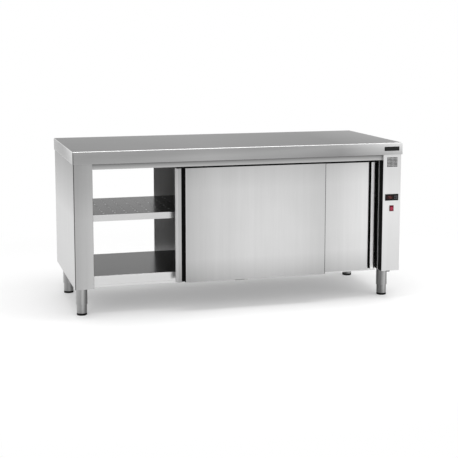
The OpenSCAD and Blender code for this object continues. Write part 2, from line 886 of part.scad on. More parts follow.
// Tube with a square top plate and an insert that guides the foot
module leg(x, y) {
    top = carcass_z - leg_plate_t;
    color("darkgray") translate([x, y, 0]) {
        difference() {
            translate([0, 0, foot_h]) cylinder(d = leg_d, h = top - foot_h);
            translate([0, 0, foot_h + insert_h]) cylinder(d = leg_d - 2 * leg_t, h = top);
            translate([0, 0, foot_h - cut]) cylinder(d = foot_d + 2 * pin_gap, h = top);
        }
        translate([-leg_plate / 2, -leg_plate / 2, top]) cube([leg_plate, leg_plate, leg_plate_t]);
    }
}

// Screwed foot with a dark base ring
module foot(x, y) {
    r = foot_d / 2;
    h = foot_h + foot_in;
    edge = 1;
    lead = 4;
    color("dimgray") translate([x, y, 0]) rotate_extrude() polygon([
        [0, 0], [r - ring_in - edge, 0], [r - ring_in, edge], [r - ring_in, ring_h],
        [r, ring_h + ring_in], [r, h - lead], [r - lead, h], [0, h]]);
}

module leg_front_left() leg(leg_x_left, -leg_y);
module leg_front_right() leg(leg_x_right, -leg_y);
module leg_rear_left() leg(leg_x_left, leg_y);
module leg_rear_right() leg(leg_x_right, leg_y);
module foot_front_left() foot(leg_x_left, -leg_y);
module foot_front_right() foot(leg_x_right, -leg_y);
module foot_rear_left() foot(leg_x_left, leg_y);
module foot_rear_right() foot(leg_x_right, leg_y);

// ---- controls ----

// Where a key stands: column i and row j of a two by two pad
function key_pos(i, j) = [key_x + i * key_pitch, stat_z + (j - 0.5) * key_pitch];

module key_cut(p, grow, y0, y1) {
    plate([p[0] - key_w / 2 - grow, y0, p[1] - key_h / 2 - grow],
        [p[0] + key_w / 2 + grow, y1, p[1] + key_h / 2 + grow]);
}

module thermostat_case() {
    face = -face_y - bezel_t;
    color("dimgray") difference() {
        union() {
            plate([control_x - stat_w / 2, face, stat_z - stat_h / 2],
                [control_x + stat_w / 2, -face_y, stat_z + stat_h / 2]);
            plate([control_x - stat_cut_w / 2, face, stat_z - stat_cut_h / 2],
                [control_x + stat_cut_w / 2, -face_y + stat_d, stat_z + stat_cut_h / 2]);
        }
        plate([window_x, face - cut, stat_z - window_h / 2],
            [window_x + window_w, face + window_set + window_t, stat_z + window_h / 2]);
        for (i = [0, 1], j = [0, 1])
            key_cut(key_pos(i, j), key_gap, face - cut, face + key_stem + key_travel);
    }
}

module thermostat_window() {
    face = -face_y - bezel_t;
    color("darkred") plate([window_x, face + window_set, stat_z - window_h / 2],
        [window_x + window_w, face + window_set + window_t, stat_z + window_h / 2]);
}

module stat_key(i, j) {
    face = -face_y - bezel_t;
    color("gray") key_cut(key_pos(i, j), 0, face - key_proud, face + key_stem - run_gap);
}

module key_up() stat_key(0, 1);
module key_down() stat_key(0, 0);
module key_set() stat_key(1, 1);
module key_standby() stat_key(1, 0);

// Frame of the switch: a box open at the front with pivot holes in its cheeks
module rocker_housing() {
    face = -face_y - rocker_bezel_t;
    in_w = rocker_cut_w - 2 * rocker_wall;
    in_h = rocker_cut_h - 2 * rocker_wall;
    color("black") difference() {
        union() {
            plate([control_x - rocker_w / 2, face, rocker_z - rocker_h / 2],
                [control_x + rocker_w / 2, -face_y, rocker_z + rocker_h / 2]);
            plate([control_x - rocker_cut_w / 2, face, rocker_z - rocker_cut_h / 2],
                [control_x + rocker_cut_w / 2, -face_y + rocker_d, rocker_z + rocker_cut_h / 2]);
        }
        plate([control_x - in_w / 2, face - cut, rocker_z - in_h / 2],
            [control_x + in_w / 2, -face_y + rocker_d - 2 * rocker_wall, rocker_z + in_h / 2]);
        translate([control_x - rocker_cut_w / 2 - cut, -face_y + pivot_in, rocker_z])
            rotate([0, 90, 0]) cylinder(r = pivot_r + pin_gap, h = rocker_cut_w + 2 * cut);
    }
}

// Dished rocker, tipped to one side, with its pivot pins
module rocker() {
    dish_r = 40;
    dish_in = 1.2;
    front = pivot_in + rocker_bezel_t + rocker_proud;
    w = rocker_cut_w - 2 * rocker_wall - 2 * run_gap;
    h = rocker_cut_h - 2 * rocker_wall - 2 * rocker_play;
    color("crimson") translate([control_x, -face_y + pivot_in, rocker_z]) rotate([rocker_tilt, 0, 0]) {
        difference() {
            translate([-w / 2, -front, -h / 2]) cube([w, front + 2 * pivot_r, h]);
            translate([-w / 2 - cut, -front - dish_r + dish_in, 0]) rotate([0, 90, 0])
                cylinder(r = dish_r, h = w + 2 * cut, $fn = 120);
        }
        translate([-rocker_cut_w / 2, 0, 0]) rotate([0, 90, 0])
            cylinder(r = pivot_r, h = rocker_cut_w);
    }
}

// ---- heater ----

// Plate across the column that carries the motor and closes the air duct
module fan_plate() {
    end = outlet_y + outlet_w / 2 + duct_end_gap;
    bottom = carcass_z + sheet_t;
    color("silver") difference() {
        union() {
            plate([fan_x, -end, bottom], [fan_x + sheet_t, end, ceiling_z]);
            plate([right_jamb + sheet_t, -end, ceiling_z - sheet_t], [fan_x + sheet_t, end, ceiling_z]);
            both_sides() plate([right_jamb + sheet_t, -end, bottom],
                [fan_x + sheet_t, -end + sheet_t, ceiling_z]);
        }
        translate([fan_x - cut, 0, fan_z]) rotate([0, 90, 0])
            cylinder(r = shaft_r + shaft_play, h = sheet_t + 2 * cut);
    }
}

module fan_motor() {
    tab_l = 8;
    tab_w = 24;
    tab_t = 4;
    cap_in = 12;
    color("dimgray") translate([fan_x + sheet_t, 0, fan_z]) rotate([0, 90, 0]) difference() {
        union() {
            cylinder(r = motor_r, h = motor_l * 3 / 4);
            cylinder(r = motor_r - cap_in, h = motor_l);
            translate([-motor_r - tab_l, -tab_w / 2, 0]) cube([2 * (motor_r + tab_l), tab_w, tab_t]);
        }
        translate([0, 0, -cut]) cylinder(r = shaft_r + pin_gap, h = motor_l / 2 + 2 * cut);
    }
}

// Open centrifugal wheel: back plate, blades, front ring, hub and shaft
module fan_impeller() {
    disc_t = 1.5;
    hub_l = 14;
    hub_wall = 8;
    ring_w = 20;
    blade_l = 17;
    blade_turn = 25;
    color("lightsteelblue") translate([fan_x - wheel_gap, 0, fan_z]) rotate([0, 90, 0]) {
        cylinder(r = fan_r, h = disc_t);
        cylinder(r = shaft_r, h = wheel_gap + sheet_t + motor_l / 2);
        translate([0, 0, -hub_l]) cylinder(r = shaft_r + hub_wall, h = hub_l + disc_t / 2);
        translate([0, 0, -blade_w]) difference() {
            cylinder(r = fan_r, h = disc_t);
            translate([0, 0, -cut]) cylinder(r = fan_r - ring_w, h = disc_t + 2 * cut);
        }
        for (i = [0:blade_n - 1]) rotate(i * 360 / blade_n)
            translate([fan_r - blade_l - disc_t, 0, -blade_w + disc_t / 2]) rotate(blade_turn)
                cube([blade_l, disc_t, blade_w]);
    }
}

// Ring of sheathed heater tube round the fan, with two leads to the fan plate
module heating_element() {
    x = right_jamb + fan_plate_x / 2;
    gap_a = 14;
    color("peru") translate([x, 0, fan_z]) rotate([0, 90, 0]) {
        rotate(gap_a) rotate_extrude(angle = 360 - 2 * gap_a) translate([heater_r, 0]) circle(heater_tube_r);
        for (a = [-gap_a, gap_a]) rotate(a) translate([heater_r, 0, 0]) {
            cylinder(r = heater_tube_r, h = fan_plate_x / 2);
            sphere(heater_tube_r);
        }
    }
}

// Sensor rod in a clip on the duct wall
module temperature_probe() {
    x = right_jamb + sheet_t;
    clip = 10;
    color("gold") {
        translate([x + probe_r, -probe_y, probe_z]) cylinder(r = probe_r, h = probe_l);
        plate([x, -probe_y - clip / 2, probe_z + (probe_l - clip) / 2],
            [x + 2 * probe_r + sheet_t, -probe_y + clip / 2, probe_z + (probe_l + clip) / 2]);
    }
}

// Block with three clamps, beside the gland
module terminal_block() {
    y = gland_y + gland_nut_r + block_gap;
    z = carcass_z + sheet_t;
    pitch = block_w / 3;
    slot = pitch - 4;
    color("ivory") difference() {
        plate([control_x - block_w / 2, y, z], [control_x + block_w / 2, y + block_d, z + block_h]);
        for (i = [-1, 0, 1])
            plate([control_x + i * pitch - slot / 2, y - cut, z + block_h / 4],
                [control_x + i * pitch + slot / 2, y + block_d / 2, z + block_h + cut]);
    }
}

// Cable entry in the column's bottom, with nuts on both sides of the sheet
module cable_gland() {
    nut = 6;
    shank = sheet_t + nut + 6;
    color("black") translate([gland_x, gland_y, carcass_z]) rotate_extrude() polygon([
        [gland_bore, -gland_h], [gland_r, -gland_h], [gland_nut_r, -gland_h + nut], [gland_nut_r, 0],
        [gland_r, 0], [gland_r, sheet_t], [gland_nut_r, sheet_t], [gland_nut_r, sheet_t + nut],
        [gland_r, sheet_t + nut], [gland_r, shank], [gland_bore, shank]]);
}

worktop();
worktop_core();
nameplate();
top_insulation();
ceiling_panel();
left_side_shell();
left_inner_panel();
left_insulation();
column_shell();
duct_wall();
fan_plate();
bottom_shelf();
base_beams();
middle_shelf();
shelf_uprights();
shelf_brackets();
front_top_rail();
rear_top_rail();
front_door_track();
rear_door_track();
door_guides();
door_buffers();
leg_front_left();
leg_front_right();
leg_rear_left();
leg_rear_right();
foot_front_left();
foot_front_right();
foot_rear_left();
foot_rear_right();
thermostat_case();
thermostat_window();
key_up();
key_down();
key_set();
key_standby();
rocker_housing();
rocker();
fan_motor();
fan_impeller();
heating_element();
temperature_probe();
terminal_block();
cable_gland();
front_left_door_skin();
front_right_door_skin();
rear_left_door_skin();
rear_right_door_skin();
front_left_door_liner();
front_right_door_liner();
rear_left_door_liner();
rear_right_door_liner();
front_left_roller_a();
front_left_roller_b();
front_right_roller_a();
front_right_roller_b();
rear_left_roller_a();
rear_left_roller_b();
rear_right_roller_a();
rear_right_roller_b();
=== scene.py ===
# %% [markdown]
# # A heated plate cabinet in brushed stainless steel
# The cabinet was built in CAD, piece by piece. This lesson dresses it: it gives every sheet its
# brushed finish with painted light and shade, eases the folded edges so that they catch the
# light, and adds the small things that CAD left out, such as the door seals, the digits of the
# display and the rings under the feet. Black channels in the grips, strips at the door ends and a
# pad behind the vent stand in for the shade there.
#
# The first step loads the imported CAD model. Its pieces stay where they are, and everything that
# is made here takes its place from them.

# %% Load the cabinet
import json
import math
import bmesh
import bpy
from mathutils import Matrix, Vector

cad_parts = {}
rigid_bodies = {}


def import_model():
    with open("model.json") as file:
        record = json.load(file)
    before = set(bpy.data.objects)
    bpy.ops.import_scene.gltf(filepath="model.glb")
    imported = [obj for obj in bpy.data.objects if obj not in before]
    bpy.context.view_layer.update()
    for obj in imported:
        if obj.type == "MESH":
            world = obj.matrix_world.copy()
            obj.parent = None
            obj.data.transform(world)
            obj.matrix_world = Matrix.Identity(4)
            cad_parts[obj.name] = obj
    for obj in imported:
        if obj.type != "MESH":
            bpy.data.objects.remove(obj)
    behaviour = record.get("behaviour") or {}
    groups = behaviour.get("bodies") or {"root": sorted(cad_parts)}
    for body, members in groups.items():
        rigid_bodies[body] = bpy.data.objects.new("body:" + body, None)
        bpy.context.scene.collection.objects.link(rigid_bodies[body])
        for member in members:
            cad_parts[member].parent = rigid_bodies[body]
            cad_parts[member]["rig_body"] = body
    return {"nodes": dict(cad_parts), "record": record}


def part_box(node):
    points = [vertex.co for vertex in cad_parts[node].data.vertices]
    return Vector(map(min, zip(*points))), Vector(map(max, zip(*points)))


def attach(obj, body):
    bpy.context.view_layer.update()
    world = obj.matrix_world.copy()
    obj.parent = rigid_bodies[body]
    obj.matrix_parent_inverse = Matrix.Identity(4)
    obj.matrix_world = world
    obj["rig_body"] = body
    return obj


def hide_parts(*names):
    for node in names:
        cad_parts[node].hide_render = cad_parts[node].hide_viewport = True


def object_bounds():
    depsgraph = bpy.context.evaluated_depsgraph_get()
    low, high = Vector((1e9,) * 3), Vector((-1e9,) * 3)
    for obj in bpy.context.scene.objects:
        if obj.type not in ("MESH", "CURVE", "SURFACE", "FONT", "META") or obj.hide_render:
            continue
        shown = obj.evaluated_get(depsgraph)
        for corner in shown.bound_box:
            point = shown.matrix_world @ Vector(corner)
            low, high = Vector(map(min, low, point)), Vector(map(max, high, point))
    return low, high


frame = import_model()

MM = 0.001
cad_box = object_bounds()
print("cabinet, metres:", [round(v, 4) for v in cad_box[1] - cad_box[0]])

# %% [markdown]
# ## The photographer's place
# A camera is a point, a direction and a lens. The picture was taken from in front and a little to
# the left, from above worktop height, with a long lens. Its uprights are nearly parallel, as they
# are when the lens is shifted down and the camera looks down less. A small shift gives some of
# that, and leaves the cabinet well inside the picture when the camera is moved round it.

# %% Camera
CAMERA_PLACE = Vector((-1.630, -5.869, 1.468))
TURN = math.radians(-15.75)
LOOK_DOWN = math.radians(7.85)
LENS_SHIFT = -0.10
SENSOR = 36.0
PICTURE_WIDTH = 458
FOCAL_PIXELS = 1099

camera_data = bpy.data.cameras.new("camera")
camera_data.sensor_width = SENSOR
camera_data.lens = FOCAL_PIXELS / PICTURE_WIDTH * SENSOR
camera_data.shift_y = LENS_SHIFT
camera = bpy.data.objects.new("camera", camera_data)
camera.location = CAMERA_PLACE
camera.rotation_euler = (math.pi / 2 - LOOK_DOWN, 0, TURN)
bpy.context.scene.collection.objects.link(camera)
bpy.context.scene.camera = camera
bpy.context.scene.view_settings.view_transform = "Standard"
print("lens, mm:", round(camera_data.lens, 2))

# %% [markdown]
# ## Shader maths in plain Python
# A finish that varies over a surface is a small network of nodes. Written node by node it is hard
# to read, so one class wraps a socket and lets Python's own operators add the Math nodes.
# Everything else comes from one method, `add`, which takes the node's type, its settings and its
# inputs.

# %% Finishes as expressions
class Wave:
    """A number that varies over a surface. Its operators add Math nodes."""

    def __init__(self, finish, socket):
        self.finish = finish
        self.socket = socket

    def math(self, operation, a, b):
        return self.finish.add("ShaderNodeMath", {"operation": operation}, {0: a, 1: b})

    def __add__(self, other):
        return self.math("ADD", self, other)

    def __sub__(self, other):
        return self.math("SUBTRACT", self, other)

    def __rsub__(self, other):
        return self.math("SUBTRACT", other, self)

    def __mul__(self, other):
        return self.math("MULTIPLY", self, other)

    def __pow__(self, other):
        return self.math("POWER", self, other)

    __radd__ = __add__
    __rmul__ = __mul__


class Finish:
    """A material whose Principled shader takes constants at once and waves by name."""

    def __init__(self, name, **constants):
        self.material = bpy.data.materials.new(name)
        self.material.use_nodes = True
        self.tree = self.material.node_tree
        self.shader = self.tree.nodes["Principled BSDF"]
        for socket, value in constants.items():
            self.shader.inputs[socket.replace("_", " ")].default_value = value
        here = self.tree.nodes.new("ShaderNodeTexCoord")
        self.place = Wave(self, here.outputs["Object"])
        self.facing = Wave(self, here.outputs["Normal"])

    def add(self, kind, settings, inputs, output=0):
        """A node with its settings and inputs, as the wave that leaves one of its outputs."""
        node = self.tree.nodes.new(kind)
        for key, value in settings.items():
            if key == "stops":
                for stop, (position, level) in zip(self.stops(node, len(value)), value):
                    stop.position = position
                    stop.color = (level, level, level, 1)
            else:
                setattr(node, key, value)
        for socket, value in inputs.items():
            if isinstance(value, Wave):
                self.tree.links.new(value.socket, node.inputs[socket])
            else:
                node.inputs[socket].default_value = value
        return Wave(self, node.outputs[output])

    def stops(self, node, count):
        """The stops of a colour ramp, as many as asked for."""
        elements = node.color_ramp.elements
        while len(elements) < count:
            elements.new(0.5)
        return list(elements)

    def along(self, vector, axis):
        """One coordinate of a vector."""
        return self.add("ShaderNodeSeparateXYZ", {}, {0: vector}, axis)

    def spread(self, wave, low, high, levels):
        """Levels laid out evenly between two values of a wave, each running into the next."""
        share = self.add("ShaderNodeMapRange", {},
                         {"Value": wave, "From Min": low, "From Max": high})
        top = max(levels)
        stops = [(i / (len(levels) - 1), level / top) for i, level in enumerate(levels)]
        return top * self.add("ShaderNodeValToRGB", {"stops": stops}, {0: share})

    def banded(self, band):
        """The levels of a band, given as axis, low, high and levels. A number stays as it is."""
        if isinstance(band, float):
            return band
        axis, low, high, levels = band
        return self.spread(self.along(self.place, axis), low, high, levels)

    def noise(self, stretch, detail, roughness=0.5):
        """Noise on object coordinates, with its own scale along each axis."""
        place = self.add("ShaderNodeMapping", {}, {"Vector": self.place, "Scale": stretch})
        return self.add("ShaderNodeTexNoise", {}, {
            "Vector": place, "Scale": 1.0, "Detail": detail, "Roughness": roughness})

    def tint(self, colour, amount):
        """The colour made lighter and darker by a wave round 1."""
        return self.add("ShaderNodeVectorMath", {"operation": "SCALE"},
                        {0: colour, "Scale": amount})

    def bent(self):
        """1 where a face looks halfway between two axes, as in a bend, and 0 along an axis."""
        squares = self.add("ShaderNodeVectorMath", {"operation": "MULTIPLY"},
                           {0: self.facing, 1: self.facing})
        straight = self.add("ShaderNodeVectorMath", {"operation": "DOT_PRODUCT"},
                            {0: squares, 1: squares}, "Value")
        return 2 * (1 - straight)

    def feed(self, socket, wave):
        """A wave sent into a socket of the Principled shader."""
        self.tree.links.new(wave.socket, self.shader.inputs[socket])

    def relief(self, wave, height):
        """A bump of the given height in metres."""
        bump = self.add("ShaderNodeBump", {},
                        {"Height": wave, "Distance": height, "Strength": 1.0})
        self.feed("Normal", bump)


# %% [markdown]
# ## Brushed stainless steel
# Kitchen steel is ground with a belt, which leaves fine lines along the sheet. Three scales make
# it look real: hair lines a fraction of a millimetre wide, broad streaks that the belt leaves
# over the whole length, and soft clouds where the sheet is not quite flat or has been wiped. The
# lines run along one axis, so noise that is stretched 100 times or more along that axis draws
# them.
#
# The slow changes of grey over a large sheet are painted light: they stand in for the soft lamps
# that the steel mirrors. `bands` lays such painted light along one axis, and `sides` gives the
# faces that look along an axis their own painted light and shade. `rounds` lays painted
# reflections round a tube, a painted highlight is laid on the bends, and `glint` says how bright
# the sheet is when it is seen nearly edge-on.

# %% Steel
HAIR, HAIR_DRAWN = 900.0, 9.0
STREAK, STREAK_DRAWN = 38.0, 0.7
CLOUD = 2.6
HAIR_SHADE, HAIR_ROUGH, CLOUD_ROUGH = 0.10, 0.12, 0.10
HAIR_DEPTH = 0.01 * MM
X, Y, Z = 0, 1, 2


def drawn_out(axis, across, length):
    """Scales for a pattern that is drawn out along one axis."""
    scales = [across] * 3
    scales[axis] = length
    return scales


def grey(level):
    """A neutral steel colour, as Python numbers."""
    return (level, level, level)


def brushed_steel(name, tone, axis, roughness=0.36, streaks=0.05, clouds=0.06, bands=(), sides=(),
                  rounds=(), bend_highlight=0.3, glint=1.0):
    """A steel whose lines run along one axis, with painted light and shade laid over them."""
    steel = Finish(name, Metallic=1.0, Specular_Tint=(glint, glint, glint, 1))
    hair = steel.noise(drawn_out(axis, HAIR, HAIR_DRAWN), 2.0)
    streak = steel.noise(drawn_out(axis, STREAK, STREAK_DRAWN), 3.0, 0.6)
    cloud = steel.noise((CLOUD, CLOUD, CLOUD), 2.0)
    shade = (1 + HAIR_SHADE * (hair - 0.5) + 2 * streaks * (streak - 0.5)
             + 2 * clouds * (cloud - 0.5))
    # Painted light and shade: slow bands of grey, and a grey of their own for faces along an axis.
    for band in bands:
        shade = shade * steel.banded(band)
    for side_axis, band in sides:
        looks_along = steel.along(steel.facing, side_axis) ** 2.0
        shade = shade * (1 + (steel.banded(band) - 1) * looks_along)
    # Painted reflections in bands round a tube, and elsewhere a painted highlight on the bends.
    if rounds:
        shade = shade * steel.spread(steel.along(steel.facing, X), -1.0, 1.0, rounds)
    else:
        shade = shade * (1 + bend_highlight * steel.bent())
    steel.feed("Base Color", steel.tint(tone, shade))
    steel.feed("Roughness", roughness + HAIR_ROUGH * (hair - 0.5) + CLOUD_ROUGH * (cloud - 0.5))
    steel.relief(hair, HAIR_DEPTH)
    return steel.material


# %% [markdown]
# The greys of the sheets are painted light: each piece gets the grey that it shows where it lies
# under the lamps, so the worktop is darker than a door. The upright bands on the tubes are painted
# reflections. At the left front corner a dark line a few millimetres wide is painted shade along
# the fold.

# %% Sheets
LENGTH = cad_box[1].x - cad_box[0].x
HEIGHT = cad_box[1].z
LEG_TONES = {"leg": 0.27, "foot": 0.25}
# Painted reflections round the tubes, from their left edge to their right edge.
LEG_ROUNDS = {"left": (1.80, 1.35, 1.18, 1.16, 1.72, 1.45, 0.85, 0.60, 0.60),
              "right": (0.50, 0.70, 0.53, 1.00, 1.40, 1.64, 1.00, 0.80, 0.80)}
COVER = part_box("front_top_rail")[0].z
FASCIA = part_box("worktop")[0].z
POST_START, POST_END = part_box("left_side_shell")[0].x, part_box("front_top_rail")[0].x
# Painted shade: a dark line along the fold at the left front corner.
CORNER_SHADE, CORNER_SHADE_LEVELS = 6 * MM, (0.15, 0.25, 1.0)
steels = {
    # Painted light: bands along the worktop, lighter ends and a painted highlight on its bends.
    "worktop_steel": brushed_steel(
        "worktop_steel", grey(0.32), X, 0.34, 0.07, 0.06, bend_highlight=1.2, glint=0.56,
        bands=[(X, -LENGTH / 2, LENGTH / 2, (0.96, 1.02, 1.10, 1.00, 0.92, 1.28))],
        sides=[(Y, (X, -LENGTH / 2, LENGTH / 2, (0.90, 0.95, 1.00, 0.90, 0.73, 0.82))),
               (Y, (X, -LENGTH / 2, -LENGTH / 2 + CORNER_SHADE, CORNER_SHADE_LEVELS)), (X, 2.2)]),
    # Painted light: the faces that look along Y are lighter than the tops.
    "inner_steel": brushed_steel("inner_steel", grey(0.26), X, 0.24, sides=[(Y, 2.4)], glint=0.5),
    "track_steel": brushed_steel("track_steel", grey(0.35), X, 0.42),
}
end_steels = {
    # Painted light and shade on the post and side: greys by height, a lighter side face.
    "left_side_shell": brushed_steel(
        "post_steel", grey(0.40), Z, 0.36,
        sides=[(X, (Z, 0.0, HEIGHT, (1.35, 1.35, 1.38, 1.38, 1.15, 0.78))),
               (Y, (X, POST_START, POST_START + CORNER_SHADE, CORNER_SHADE_LEVELS)),
               (Y, (X, POST_START, POST_END, (0.90, 1.0, 1.10)))],
        bands=[(Z, 0.0, HEIGHT, (1.10, 1.10, 1.14, 1.14, 0.96, 0.84))]),
    # Painted light: the column is lighter a little above the middle of its height.
    "column_shell": brushed_steel(
        "column_steel", grey(0.61), Z, 0.38,
        bands=[(Z, 0.0, HEIGHT, (0.98, 1.02, 1.14, 1.22, 1.08, 0.99))]),
}
# Painted reflections: bands round every tube, one set for each side of the cabinet.
for side, rounds in LEG_ROUNDS.items():
    for tube, tone in LEG_TONES.items():
        tube_steel = brushed_steel(tube + "_steel_" + side, grey(tone), Z, 0.22, 0.12, 0.04,
                                   rounds=rounds)
        end_steels[tube + "_front_" + side] = end_steels[tube + "_rear_" + side] = tube_steel
# Painted light at a rail's foot, and a painted shadow of the fascia under its top.
for rail in ("front_top_rail", "rear_top_rail"):
    end_steels[rail] = brushed_steel(
        rail + "_steel", grey(0.34), X, 0.40,
        bands=[(Z, COVER, FASCIA, (1.37, 1.30, 1.18, 1.04, 0.92, 0.75, 0.55, 0.40))])
print("steel finishes:", len(steels) + len(end_steels))

# %% [markdown]
# Each door's middle is painted lighter than its rim, as painted reflections of the soft lamps. The
# bands are laid between the door's own edges, and slide with it. The lip at the grip end of the
# right doors gets a painted highlight, and is brighter than the panel beside it.

# %% Doors
DOOR_TONE, LINER_TONE = 0.645, 0.68
# Painted highlight on the right doors' lips, and painted light in rows and columns on each door.
LIP_LIGHT, LIP_LEVELS = 36 * MM, (1.0, 1.9, 1.9)
DOOR_ROWS = (0.68, 0.95, 1.0, 1.0, 0.96, 0.80)
REAR_COLUMNS = (0.90, 0.98, 1.0, 0.98, 0.92)
DOOR_COLUMNS = {
    "front_left": (0.68, 0.93, 1.0, 1.0, 0.88), "front_right": (0.86, 0.88, 0.86, 1.0, 1.20),
    "rear_left": REAR_COLUMNS, "rear_right": REAR_COLUMNS,
}


def door_steel(door):
    """The steel of one door, with painted light in bands between the door's own edges."""
    low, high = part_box(door + "_door_skin")
    bands = [(X, low.x, high.x, DOOR_COLUMNS[door]), (Z, low.z, high.z, DOOR_ROWS)]
    # Painted highlight on the lip at the grip end.
    if door.endswith("right"):
        bands.append((X, high.x - LIP_LIGHT, high.x, LIP_LEVELS))
    return brushed_steel(door + "_door_steel", grey(DOOR_TONE), Z, 0.38, bands=bands)


liner_steel = brushed_steel("liner_steel", grey(LINER_TONE), Z, 0.55, 0.10, 0.20)
for door in DOOR_COLUMNS:
    end_steels[door + "_door_skin"] = door_steel(door)
    end_steels[door + "_door_liner"] = liner_steel
print("doors:", len(DOOR_COLUMNS))

# %% [markdown]
# ## Plastics, rubber and what is hidden inside
# Moulded plastic is a plain colour with a faint grain, so one function makes all of it. Rubber is
# the same with more roughness. Black pieces mirror less of the white room than coloured ones,
# which `shine` says. The board under the worktop shows only in its cut ends and the mineral wool
# only when a panel is taken off, but both still get a finish of their own.

# %% Moulded parts
SPECK, SPECK_ROUGH, SPECK_DEPTH = (700.0, 700.0, 700.0), 0.10, 0.03 * MM


def moulded(name, colour, roughness, grain=0.06, coat=0.0, shine=0.5):
    """A moulded plastic or rubber with a faint grain in its colour, gloss and surface."""
    plastic = Finish(name, Coat_Weight=coat, Coat_Roughness=0.08, Specular_IOR_Level=shine)
    speck = plastic.noise(SPECK, 2.0)
    plastic.feed("Base Color", plastic.tint(colour, 1 + 2 * grain * (speck - 0.5)))
    plastic.feed("Roughness", roughness + SPECK_ROUGH * (speck - 0.5))
    plastic.relief(speck, SPECK_DEPTH)
    return plastic.material


plastics = {
    "bare_plate": moulded("bare_plate", (0.008, 0.008, 0.008), 0.55, shine=0.2),
    "roller_plastic": moulded("roller_plastic", (0.75, 0.72, 0.62), 0.45),
    "guide_plastic": moulded("guide_plastic", (0.62, 0.62, 0.60), 0.5),
    "buffer_rubber": moulded("buffer_rubber", (0.005, 0.005, 0.005), 0.8, shine=0.06),
    "case_plastic": moulded("case_plastic", (0.005, 0.005, 0.005), 0.50, shine=0.1),
    "key_plastic": moulded("key_plastic", (0.09, 0.09, 0.10), 0.5, shine=0.2),
    "window_plastic": moulded("window_plastic", (0.018, 0.004, 0.004), 0.14, 0.02, shine=0.2),
    "rocker_plastic": moulded("rocker_plastic", (0.34, 0.010, 0.045), 0.25, 0.03, 0.2, 0.3),
    "terminal_plastic": moulded("terminal_plastic", (0.70, 0.68, 0.58), 0.5),
    "gland_plastic": moulded("gland_plastic", (0.010, 0.010, 0.010), 0.5, shine=0.2),
    "motor_paint": moulded("motor_paint", (0.03, 0.03, 0.033), 0.5, shine=0.3),
}
print("moulded finishes:", len(plastics))

# %% Board, wool and the heater's metals
CHIPS, CHIP_DEPTH = (60.0, 60.0, 180.0), 0.4 * MM
STRANDS, STRAND_DEPTH = (300.0, 300.0, 40.0), 2 * MM


def board_finish(name):
    """Pressed chips of wood, seen on a cut end."""
    board = Finish(name)
    chips = board.noise(CHIPS, 5.0, 0.7)
    board.feed("Base Color", board.tint((0.46, 0.34, 0.21), 0.7 + 0.6 * chips))
    board.feed("Roughness", 0.7 + 0.2 * chips)
    board.relief(chips, CHIP_DEPTH)
    return board.material


def wool_finish(name):
    """Mineral wool in flat layers of fine strands."""
    wool = Finish(name, Roughness=0.95, Sheen_Weight=0.3)
    strands = wool.noise(STRANDS, 6.0, 0.75)
    wool.feed("Base Color", wool.tint((0.55, 0.47, 0.22), 0.6 + 0.8 * strands))
    wool.relief(strands, STRAND_DEPTH)
    return wool.material


hidden = {
    "board": board_finish("board"),
    "insulation": wool_finish("insulation"),
    "impeller_metal": brushed_steel("impeller_metal", grey(0.50), Y, 0.35),
    "heater_metal": brushed_steel("heater_metal", (0.30, 0.24, 0.20), Z, 0.45, 0.10, 0.15),
    "probe_metal": brushed_steel("probe_metal", (0.62, 0.46, 0.20), Z, 0.30),
}
finishes = {**steels, **plastics, **hidden}
switch_plastic = moulded("switch_plastic", (0.10, 0.006, 0.014), 0.4, shine=0.2)
own_finishes = {**end_steels, "rocker_housing": switch_plastic}
print("finishes for a slot:", len(finishes), "and for one piece alone:", len(own_finishes))

# %% [markdown]
# ## Dressing the CAD pieces
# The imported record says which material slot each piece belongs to, and every CAD piece gets the
# finish of its slot. The end boxes, doors, rails, legs and the switch get the finish that was
# made for them alone.

# %% Dress every CAD piece
slot_of = {part["node"]: part["material_slot"] for part in frame["record"]["subparts"]}


def finish_of(node_name):
    """The finish made for a piece alone, or else the one of its slot."""
    if node_name in own_finishes:
        return own_finishes[node_name]
    return finishes[slot_of[node_name]]


for name, node in frame["nodes"].items():
    node.data.materials.clear()
    node.data.materials.append(finish_of(name))
print("dressed:", len(slot_of), "pieces in", len(set(slot_of.values())), "slots")

# %% [markdown]
# ## Folded edges
# No edge of a folded sheet is perfectly sharp, and a real cabinet shows it: each fold draws a
# thin bright line. A CAD piece keeps its exact corners, so its mesh is copied, its doubles are
# merged, its flat triangles are dissolved into faces, and a Bevel modifier rounds what is left.
# The copy then stands for the CAD piece. Flat sheets keep flat shading, and only what is round is
# shaded smooth. A sheet with a field of holes keeps its triangles, because one face can't run
# round so many holes.

# %% Ease the edges
FOLD_ANGLE, FLAT_ANGLE = math.radians(30), math.radians(0.5)
FOLD_SEGMENTS = 2
PIERCED = ("column_shell", "middle_shelf")


def add_fold(piece, radius):
    """A Bevel modifier that rounds a piece's sharp edges."""
    bevel = piece.modifiers.new("fold", "BEVEL")
    bevel.width = radius
    bevel.segments = FOLD_SEGMENTS
    bevel.limit_method = "ANGLE"
    bevel.angle_limit = FOLD_ANGLE
    bevel.harden_normals = True


